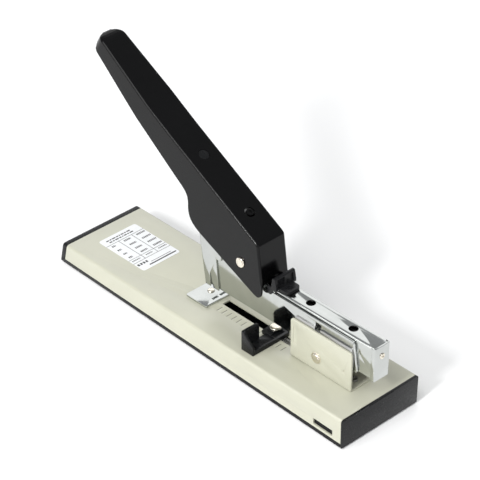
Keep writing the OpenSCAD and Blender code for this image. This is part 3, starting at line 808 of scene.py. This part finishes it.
class STAPLER_OT_side_plates(Operator):
    """Plated side plates, floor, hinge cheeks and rivets of the hinged body"""
    bl_idname = "stapler.side_plates"
    bl_label = "Body Plates"

    def execute(self, context):
        points = []
        for i, point in enumerate(PLATE_OUTLINE):
            reach = 3.2 if i in (1, 2) else 1.0
            points += corner(PLATE_OUTLINE, i, reach)
        plate = profile("Side_plates", points, 7.1, 8.3)
        cut(plate, pin_across("pivot", PIVOT, 0, 20, 3.2, 48),
            pin_across("latch_hole", LATCH_PIN, 0, 20, 1.25, 24),
            block("window", (91.8, 0, 33.4), (97.2, 20, 38.6)),
            block("hook", (91.8, 0, 32), (93.4, 20, 34)))
        roll = rod("rolled_edge", (127.5, 7.75, 39.6), (130.9, 7.75, 18.6), 0.95, 20)
        combine(plate, "UNION", roll)
        far = other_side(plate, "far_plate")
        plates = set_in_place(joined("Side_plates", [plate, far]), DECK)
        break_edges(plates, 0.3, 40, 3)
        finish(plates, "body", "chrome", "frame_plates", smooth=30)
        frame_parts("body",
                    ("Body_floor", "frame_floor", "plain_steel", 0.15),
                    ("Hinge_cheeks", "hinge_cheeks", "plain_steel", 0.15),
                    ("Driver_block", "nose_block", "plain_steel", 0.2),
                    ("Pivot_collars", "pivot_collars", "plain_steel", 0.2),
                    ("Plate_rivets", "frame_rivets", "nickel", 0.05))
        return {"FINISHED"}


class STAPLER_OT_nose(Operator):
    """Folded driver housing at the front of the body, with a notch in each side"""
    bl_idname = "stapler.nose"
    bl_label = "Driver Housing"

    def execute(self, context):
        slope = math.tan(NOSE_LEAN)
        foot = -0.33
        shell = profile("Driver_housing", [
            (-5.9, foot), (8.4, foot - 14.3 * slope), (9.6, 23.5), (14.5, 23.5), (20, 44),
            (-5.9, 44)], -9.3, 9.3)
        round_edges(shell, 1.5, lambda e: abs(heading(e).z) > 0.99
                    and middle(e).x < -5, 6)
        cut(shell, block("inside", (-4.5, -8.3, -20), (30, 8.3, 60)))
        notch = [(-0.6, -8), (3.4, -8), (1.9, 9.6), (1.75, 9.95), (1.4, 10.1), (1.05, 9.95),
                 (0.9, 9.6)]
        cut(shell, profile("notch", notch, -12, -7), profile("notch", notch, 7, 12))
        set_in_place(shell, NOSE)
        break_edges(shell, 0.2, 35, 3)
        finish(shell, "body", "chrome", "nose_shell", smooth=30)
        return {"FINISHED"}


class STAPLER_OT_springs(Operator):
    """Every coil spring of the stapler, wound as a real helix"""
    bl_idname = "stapler.springs"
    bl_label = "Springs"

    def execute(self, context):
        wire = "spring_wire"
        lift = set_in_place(coil("Lift_spring", (86, 0, 2.0), (0, 0, 1), 3.4, 1.1, 6, 2.1),
                            DECK)
        finish(lift, "base", "plain_steel", "lift_spring", look=wire)
        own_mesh(lift)
        slot = set_in_place(coil("Slot_spring", (53.6, 0, -2.7), (1, 0, 0), 2.3, 0.9, 8, 1.5),
                            DECK)
        finish(slot, "base", "plain_steel", "slot_spring", look=wire)
        push = set_in_place(coil("Pusher_spring", (64, 0, 28), (1, 0, 0), 2.3, 0.8, 24, 3.05,
                                 8, 16), DECK)
        finish(push, "drawer", "plain_steel", "pusher_spring", look=wire)
        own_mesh(push)
        handle = [coil("turns", (PIVOT[0], side * 5.5, PIVOT[1]), (0, side, 0), 4.3, 1.1, 2, 0.7,
                       10, 24) for side in (-1, 1)]
        for side in (-1, 1):
            handle.append(rod("leg", (18.7, side * 6.2, 55.5), (16.4, side * 6.2, 66.2), 0.55,
                              12))
            handle.append(rod("leg", (27.3, side * 6.2, 55.5), (29.9, side * 6.2, 46), 0.55,
                              12))
        handle = set_in_place(joined("Handle_spring", handle), DECK)
        finish(handle, "body", "plain_steel", "handle_spring", look=wire)
        latch = set_in_place(coil("Latch_spring", (LATCH_PIN[0], 9.95, LATCH_PIN[1]),
                                  (0, 1, 0), 1.9, 0.6, 2, 0.5, 8, 20), DECK)
        finish(latch, "body", "plain_steel", "latch_spring", look=wire)
        return {"FINISHED"}


# ---------- handle ----------

HANDLE_BACK = [(39.7, 76.6), (37.4, 78.4), (-48.1, 126.1), (-68.3, 138), (-121.4, 170.9),
               (-127.2, 172.3), (-131, 169.7), (-131.3, 165.3)]
HANDLE_BELLY = [(-128.5, 160.5), (-88.7, 129.1), (-48.9, 99.2), (-35.2, 89.2), (-31.6, 85.2),
                (-30.6, 80), (-30.8, 73.4), (-29.2, 67.6), (-25.6, 63.2), (-20, 59.7),
                (6.9, 47.7), (36.4, 34.6), (39.6, 33.9), (42.2, 35.4), (43.3, 38.2),
                (43.8, 45.8)]
HANDLE_CORE = [(42.3, 45.2), (42.3, 45.9), (38.2, 75.9), (36.7, 77), (-48.8, 124.7),
               (-69.1, 136.7), (-121.7, 169.1), (-127.1, 170.4), (-129.3, 168.7), (-129.7, 165.4),
               (-127, 161.3), (-88, 120), (-40, 70), (-36, 50), (30, 20), (50, 20),
               (50, 45.2)]
HANDLE_HALF = 13.1
HANDLE_SHEET = 1.5
HANDLE_HOLES = ((-27.2, 115.5), (18.9, 89.9))
TOP_SLOPE = math.radians(31.7)
TIP = (-130.7, 0, 167)
TIP_HALF = 10.6
TIP_RADIUS = 8.3
TAPER = 62


def plan(inset, name):
    """The handle seen square to its top face, narrowing to a rounded tip."""
    half, radius = HANDLE_HALF - inset, TIP_RADIUS - inset
    points = [(300, -half), (300, half), (TAPER, half)]
    for centre, start in ((HANDLE_HALF - TIP_HALF, 90), (TIP_HALF - HANDLE_HALF, 180)):
        for k in range(13):
            a = math.radians(start + 7.5 * k)
            points.append((TIP_RADIUS + radius * math.cos(a), centre + radius * math.sin(a)))
    points.append((TAPER, -half))
    return set_in_place(profile(name, points, -150, 150, "Z"),
                        spot(*TIP) @ Matrix.Rotation(TOP_SLOPE, 4, "Y"))


class STAPLER_OT_handle(Operator):
    """Folded and enamelled handle, open underneath, with its plug and two holes"""
    bl_idname = "stapler.handle"
    bl_label = "Handle"

    def execute(self, context):
        bend = context.scene.stapler_sizes.bend_radius / MM
        outline = eased(HANDLE_BACK + HANDLE_BELLY, 5)
        shell = profile("Handle", outline, -HANDLE_HALF, HANDLE_HALF)
        combine(shell, "INTERSECT", plan(0, "plan"))
        flatten_faces(shell, 0.3)

        def folded(edge):
            if len(edge.link_faces) != 2:
                return False
            first, second = (f.normal for f in edge.link_faces)
            top = max((first, second), key=lambda n: n.z + n.x)
            at = middle(edge)
            return (first.angle(second) > 0.75
                    and (top.z > 0.3 or (top.x > 0.8 and at.z > 46)) and at.z > 46)
        round_edges(shell, bend, folded, 5, clamp=False)
        core = profile("core", eased(HANDLE_CORE, 4), HANDLE_SHEET - HANDLE_HALF,
                       HANDLE_HALF - HANDLE_SHEET)
        combine(core, "INTERSECT", plan(HANDLE_SHEET, "core_plan"))
        cut(shell, core, pin_across("pivot", PIVOT, -20, 20, 3.26, 48))
        for u, w in HANDLE_HOLES:
            drill = rod("drill", (0, 0, -8), (0, 0, 6), 4, 48)
            set_in_place(drill, spot(u, 0, w) @ Matrix.Rotation(HANDLE_FACE, 4, "Y"))
            cut(shell, drill)
        set_in_place(shell, DECK)
        break_edges(shell, 0.16, 50)
        finish(shell, "handle", "black_enamel", "handle_shell",
               smooth=34)
        modify(shell, "WEIGHTED_NORMAL", weight=100, keep_sharp=True)
        face = Matrix.Rotation(HANDLE_FACE, 4, "Y")
        plug = [rod("disc", (0, 0, -2.9), (0, 0, -1.1), 3.97, 48),
                rod("flange", (0, 0, -3.6), (0, 0, -2.6), 4.9, 48)]
        plug_u, plug_w = HANDLE_HOLES[0]
        plug = set_in_place(joined("Handle_plug", plug), DECK @ spot(plug_u, 0, plug_w) @ face)
        break_edges(plug, 0.3, 50, 3)
        finish(plug, "handle", "black_plastic", "handle_plug")
        frame_parts("handle",
                    ("Handle_lever", "handle_lever", "plain_steel", 0.2),
                    ("Handle_roller", "handle_roller", "plain_steel", 0.15),
                    # The lever screw takes the black enamel so the handle hole above it looks
                    # dark: painted shade inside the hole.
                    ("Lever_screw", "lever_screw", "black_enamel", 0.15))
        return {"FINISHED"}


class STAPLER_OT_pivot(Operator):
    """Large pivot rivet of the handle, with a domed nickel head on each side"""
    bl_idname = "stapler.pivot"
    bl_label = "Handle Pivot"

    def execute(self, context):
        parts = [pin_across("shaft", PIVOT, -13.5, 13.5, 3.2, 44)]
        for side in (-1, 1):
            parts += [pin_across("collar", PIVOT, side * 13.25, side * 13.6, 3.9, 48),
                      set_in_place(rivet_head("head", 3.9, 0.78), on_side(PIVOT, side, 13.6))]
        pin = set_in_place(joined("Pivot_rivet", parts), DECK)
        break_edges(pin, 0.2, 50, 3)
        finish(pin, "body", "nickel", "pivot_pin")
        return {"FINISHED"}


# ---------- latch ----------

class STAPLER_OT_latch(Operator):
    """Moulded thumb latch across the body, with a rounded tab over the magazine"""
    bl_idname = "stapler.latch"
    bl_label = "Magazine Latch"

    def execute(self, context):
        paddle = profile("Latch", eased([(49.4, 44.4), (54.6, 44.4), (54.8, 47), (53.2, 54.4),
                                         (50.6, 54.4)], 1.1), -9.7, 9.7)
        round_edges(paddle, 1.0, lambda e: abs(middle(e).y) > 9.6 and middle(e).z > 45, 4)
        cut(paddle, profile("dish", eased([(56.4, 46.6), (54.2, 53.2), (52.6, 52.6),
                                           (53, 46.6)], 0.5), -7.6, 7.6))
        rib = profile("rib", [(53.2, 46.4), (54.4, 46.4), (53.4, 53.4), (52.4, 53.4)], -0.8,
                      0.8)
        tab = profile("tab", [(54, -6.6), (59.6, -6.6)]
                      + [(59.6 + 3.2 * math.sin(math.radians(15 * k)),
                          -3.4 - 3.2 * math.cos(math.radians(15 * k))) for k in range(1, 7)]
                      + [(59.6 + 3.2 * math.cos(math.radians(15 * k)),
                          3.4 + 3.2 * math.sin(math.radians(15 * k))) for k in range(0, 7)]
                      + [(54, 6.6)], 44, 46.2, "Z")
        cut(tab, rod("dimple", (58.6, 0, 45.6), (58.6, 0, 48), 1.8, 32))
        ears = []
        for side in (-1, 1):
            low, high = sorted((side * 8.6, side * 9.6))
            ears.append(profile("ear", [
                (LATCH_PIN[0] - 2.4 * math.cos(math.radians(20 * k)),
                 LATCH_PIN[1] - 2.4 * math.sin(math.radians(20 * k))) for k in range(0, 10)]
                + [(51, 43.4), (51, 46.4), (46.6, 46.4), (45.6, 45.2)], low, high))
        combine(paddle, "UNION", rib, tab, *ears)
        set_in_place(paddle, DECK)
        break_edges(paddle, 0.28, 40, 3)
        finish(paddle, "latch", "black_plastic", "latch")
        return {"FINISHED"}


# ---------- magazine ----------

class STAPLER_OT_drawer(Operator):
    """Magazine drawer: bright cover with sight holes, end plate and rail"""
    bl_idname = "stapler.drawer"
    bl_label = "Magazine Drawer"

    def execute(self, context):
        cover = block("Drawer_cover", (2, -6.8, 18), (144.9, 6.8, 43.6))
        round_edges(cover, 1.3, lambda e: abs(heading(e).x) > 0.9 and middle(e).z > 40, 6)
        drop_faces(cover, lambda f: abs(f.normal.x) > 0.9 or f.normal.z < -0.9)
        wall(cover, 0.7)
        cut(cover, rod("sight", (78.8, 0, 30), (78.8, 0, 50), 3.5, 56),
            rod("sight", (119.3, 0, 30), (119.3, 0, 50), 3.5, 56))
        for side in (-1, 1):
            low, high = sorted((side * 6.6, side * 7.6))
            cut(cover, block("crease", (60, low, 40.2), (126, high, 40.9)),
                block("window", (91.8, min(low, side * 5.8), 33.4),
                      (97.2, max(high, side * 5.8), 38.6)))
        set_in_place(cover, DECK)
        break_edges(cover, 0.12, 40)
        finish(cover, "drawer", "chrome", "drawer_cover", smooth=30)

        end = block("Drawer_end", (142.7, -7.3, 16.6), (146.3, 7.3, 43.8))
        round_edges(end, 1.1, lambda e: middle(e).x > 146 and abs(heading(e).y) < 0.5, 4)
        cut(end, block("behind", (140, -6.8, 10), (144.9, 6.8, 50)),
            rod("rivet_hole", (143, 0, 35.4), (148, 0, 35.4), 1.5, 32))
        tongue = block("tongue", (141.9, -4.4, 18), (144.9, 4.4, 42.3))
        end = set_in_place(joined("Drawer_end", [end, tongue]), DECK)
        break_edges(end, 0.3, 40, 3)
        finish(end, "drawer", "chrome", "drawer_end")
        head = rivet_head("End_rivet", 2.3, 0.6)
        cut(head, rod("bore", (0, 0, 0.15), (0, 0, 2), 0.8, 24))
        turn = Matrix.Rotation(math.radians(90), 4, "Y")
        set_in_place(head, DECK @ spot(146.3, 0, 35.4) @ turn)
        finish(head, "drawer", "nickel", "end_rivet")
        frame_parts("drawer",
                    ("Staple_rail", "staple_rail", "plain_steel", 0.15),
                    ("Pusher_rod", "pusher_rod", "nickel", 0.1))
        frame_parts("pusher", ("Staple_pusher", "pusher", "plain_steel", 0.3))
        return {"FINISHED"}


class STAPLER_OT_staples(Operator):
    """Strip of separate wire staples riding over the rail"""
    bl_idname = "stapler.staples"
    bl_label = "Staples"

    def execute(self, context):
        staple = profile("Staples", [(-5.7, 24.4), (-5.2, 24), (-4.7, 24.4), (-4.7, 38.95),
                                     (4.7, 38.95), (4.7, 24.4), (5.2, 24), (5.7, 24.4),
                                     (5.7, 39.2), (5.1, 39.9), (-5.1, 39.9), (-5.7, 39.2)],
                         -13.2, -12.56, "X")
        modify(staple, "ARRAY", count=100, use_relative_offset=False,
               use_constant_offset=True, constant_offset_displace=(0.7 * MM, 0, 0))
        set_in_place(staple, DECK)
        finish(staple, "drawer", "plain_steel", "staples", look="staple_wire")
        return {"FINISHED"}


class STAPLER_OT_driver(Operator):
    """Blade that drives the staple, with the broad head under the roller"""
    bl_idname = "stapler.driver"
    bl_label = "Driver"

    def execute(self, context):
        frame_parts("driver", ("Driver", "driver", "plain_steel", 0.2))
        return {"FINISHED"}


# ---------- paper guide ----------

class STAPLER_OT_guide(Operator):
    """Sliding paper guide with its fence, domed knob and slider"""
    bl_idname = "stapler.guide"
    bl_label = "Paper Guide"

    def execute(self, context):
        fence = profile("Guide_fence", eased([(-31, 0.3), (-15.6, 0.3), (-15.6, 14.2),
                                              (-17, 16), (-31, 16)], 0.8), 42.4, 44.2, "X")
        parts = [
            profile("gusset", eased([(42.4, 0.3), (42.4, 16), (44.2, 16), (54, 6.4),
                                     (54, 0.3)], 0.7), -31, -29.4),
            block("floor", (42.4, -31, 0.3), (54, 3.6, 1.9)),
            block("rim", (52.4, -31, 0.3), (54, 3.6, 3.4)),
            rod("boss", (*KNOB, 0.3), (*KNOB, 3.6), 5.4, 48),
            block("pad", (38.8, -8, 0.3), (52.4, 5.8, 3.0))]
        combine(fence, "UNION", *parts)
        cut(fence, rod("bore", (*KNOB, -1), (*KNOB, 9), 2.02, 32),
            block("tray", (47, -7.6, 1.6), (51.4, 2.4, 8)))
        set_in_place(fence, DECK)
        break_edges(fence, 0.25, 40, 3)
        finish(fence, "guide", "black_plastic", "guide_fence")
        knob = [rod("shank", (0, 0, -3.4), (0, 0, 3.7), 2, 32),
                rod("brim", (0, 0, 3.6), (0, 0, 4.2), 4.3, 56),
                set_in_place(rivet_head("dome", 4.3, 0.9, 56), spot(0, 0, 4.2))]
        knob = set_in_place(joined("Guide_knob", knob), DECK @ spot(*KNOB, 0))
        break_edges(knob, 0.12, 50)
        finish(knob, "guide", "nickel", "guide_knob")
        frame_parts("guide", ("Guide_slider", "guide_slider", "plain_steel", 0.15))
        return {"FINISHED"}


# ---------- studio ----------

CAMERA_AZIMUTH = math.radians(46.03)
CAMERA_ELEVATION = math.radians(35.36)
CAMERA_ROLL = math.radians(0.94)
CAMERA_PLACE = (0.9511, -0.9107, 1.0127)
CAMERA_LENS = 173.25


def soft_light(name, place, aim, size, power, colour=(1, 1, 1)):
    light = bpy.data.lights.new(name, "AREA")
    light.shape = "RECTANGLE"
    light.size, light.size_y = size
    light.energy = power
    light.color = colour
    obj = bpy.data.objects.new(name, light)
    bpy.context.scene.collection.objects.link(obj)
    obj.location = place
    obj.rotation_euler = (Vector(place) - Vector(aim)).to_track_quat("Z", "Y").to_euler()
    return obj


class STAPLER_OT_studio(Operator):
    """Pale floor, soft lights and the camera"""
    bl_idname = "stapler.studio"
    bl_label = "Studio"

    def execute(self, context):
        scene = context.scene
        let_go()
        bpy.ops.mesh.primitive_plane_add(size=14, location=(0, 0, -0.0002))
        floor = named("Floor")
        f = Finish("Studio floor")
        tone = tuple(scene.stapler_colours.floor)
        f.feed(Base_Color=f.between(f.spread(f.noise(3, 2), 0, 1), tone,
                                    tuple(c * 0.99 for c in tone)))
        f.set(Roughness=0.6)
        floor.data.materials.append(f.material)

        world = bpy.data.worlds.new("Studio")
        world.use_nodes = True
        scene.world = world
        background = world.node_tree.nodes["Background"]
        background.inputs["Color"].default_value = (0.96, 0.98, 1, 1)
        background.inputs["Strength"].default_value = 0.42
        soft_light("Key", (0.3, -1.5, 2.6), (0, 0, 0), (1.6, 1.6), 36, (1, 0.995, 0.985))
        soft_light("Front", (-0.6, -2.2, 0.9), (0, 0, 0), (1.6, 0.9), 14)
        soft_light("Edge", (0.33, -2.0, 1.5), (0, 0, 0.05), (0.36, 0.36), 36)
        soft_light("Sweep", (-1.8, 1.75, 1.35), (0, 0, 0.02), (3.2, 2.0), 22)
        soft_light("Fill", (1.9, -0.3, 1.2), (0, 0, 0.05), (0.9, 0.9), 8)

        right = Vector((math.cos(CAMERA_AZIMUTH), math.sin(CAMERA_AZIMUTH), 0))
        ahead = Vector((-math.sin(CAMERA_AZIMUTH) * math.cos(CAMERA_ELEVATION),
                        math.cos(CAMERA_AZIMUTH) * math.cos(CAMERA_ELEVATION),
                        -math.sin(CAMERA_ELEVATION)))
        down = ahead.cross(right)
        turn, side = math.cos(CAMERA_ROLL), math.sin(CAMERA_ROLL)
        across = turn * right - side * down
        below = side * right + turn * down
        camera = bpy.data.objects.new("Camera", bpy.data.cameras.new("Camera"))
        camera.data.lens = CAMERA_LENS
        camera.data.sensor_width = 36
        camera.data.clip_start = 0.01
        camera.data.clip_end = 30
        camera.matrix_world = Matrix.Translation(CAMERA_PLACE) @ Matrix(
            (across, -below, -ahead)).transposed().to_4x4()
        scene.collection.objects.link(camera)
        scene.camera = camera
        scene.view_settings.view_transform = "Standard"
        return {"FINISHED"}


# ---------- panel and run ----------

PIECES = (STAPLER_OT_cover, STAPLER_OT_caps, STAPLER_OT_label, STAPLER_OT_anvil,
          STAPLER_OT_bracket, STAPLER_OT_underside, STAPLER_OT_side_plates, STAPLER_OT_nose,
          STAPLER_OT_springs, STAPLER_OT_handle, STAPLER_OT_pivot, STAPLER_OT_latch,
          STAPLER_OT_drawer, STAPLER_OT_staples, STAPLER_OT_driver, STAPLER_OT_guide)


class STAPLER_PT_panel(Panel):
    """Buttons for each piece of the stapler, and its sizes and colours"""
    bl_idname = "STAPLER_PT_panel"
    bl_label = "Stapler"
    bl_space_type = "VIEW_3D"
    bl_region_type = "UI"
    bl_category = "Stapler"

    def draw(self, context):
        layout = self.layout
        for group in (context.scene.stapler_sizes, context.scene.stapler_colours):
            box = layout.box()
            for key in group.__annotations__:
                box.prop(group, key)
        layout.operator(STAPLER_OT_studio.bl_idname)
        for piece in PIECES:
            layout.operator(piece.bl_idname)


CLASSES = (STAPLER_PG_sizes, STAPLER_PG_colours, STAPLER_OT_studio, *PIECES,
           STAPLER_PT_panel)


def register():
    for item in CLASSES:
        bpy.utils.register_class(item)
    bpy.types.Scene.stapler_sizes = PointerProperty(type=STAPLER_PG_sizes)
    bpy.types.Scene.stapler_colours = PointerProperty(type=STAPLER_PG_colours)


def unregister():
    del bpy.types.Scene.stapler_colours
    del bpy.types.Scene.stapler_sizes
    for item in reversed(CLASSES):
        bpy.utils.unregister_class(item)


def main():
    register()
    let_go()
    bpy.ops.stapler.studio()
    for piece in PIECES:
        group, name = piece.bl_idname.split(".")
        getattr(getattr(bpy.ops, group), name)()
    let_go()


if __name__ == "__main__":
    main()
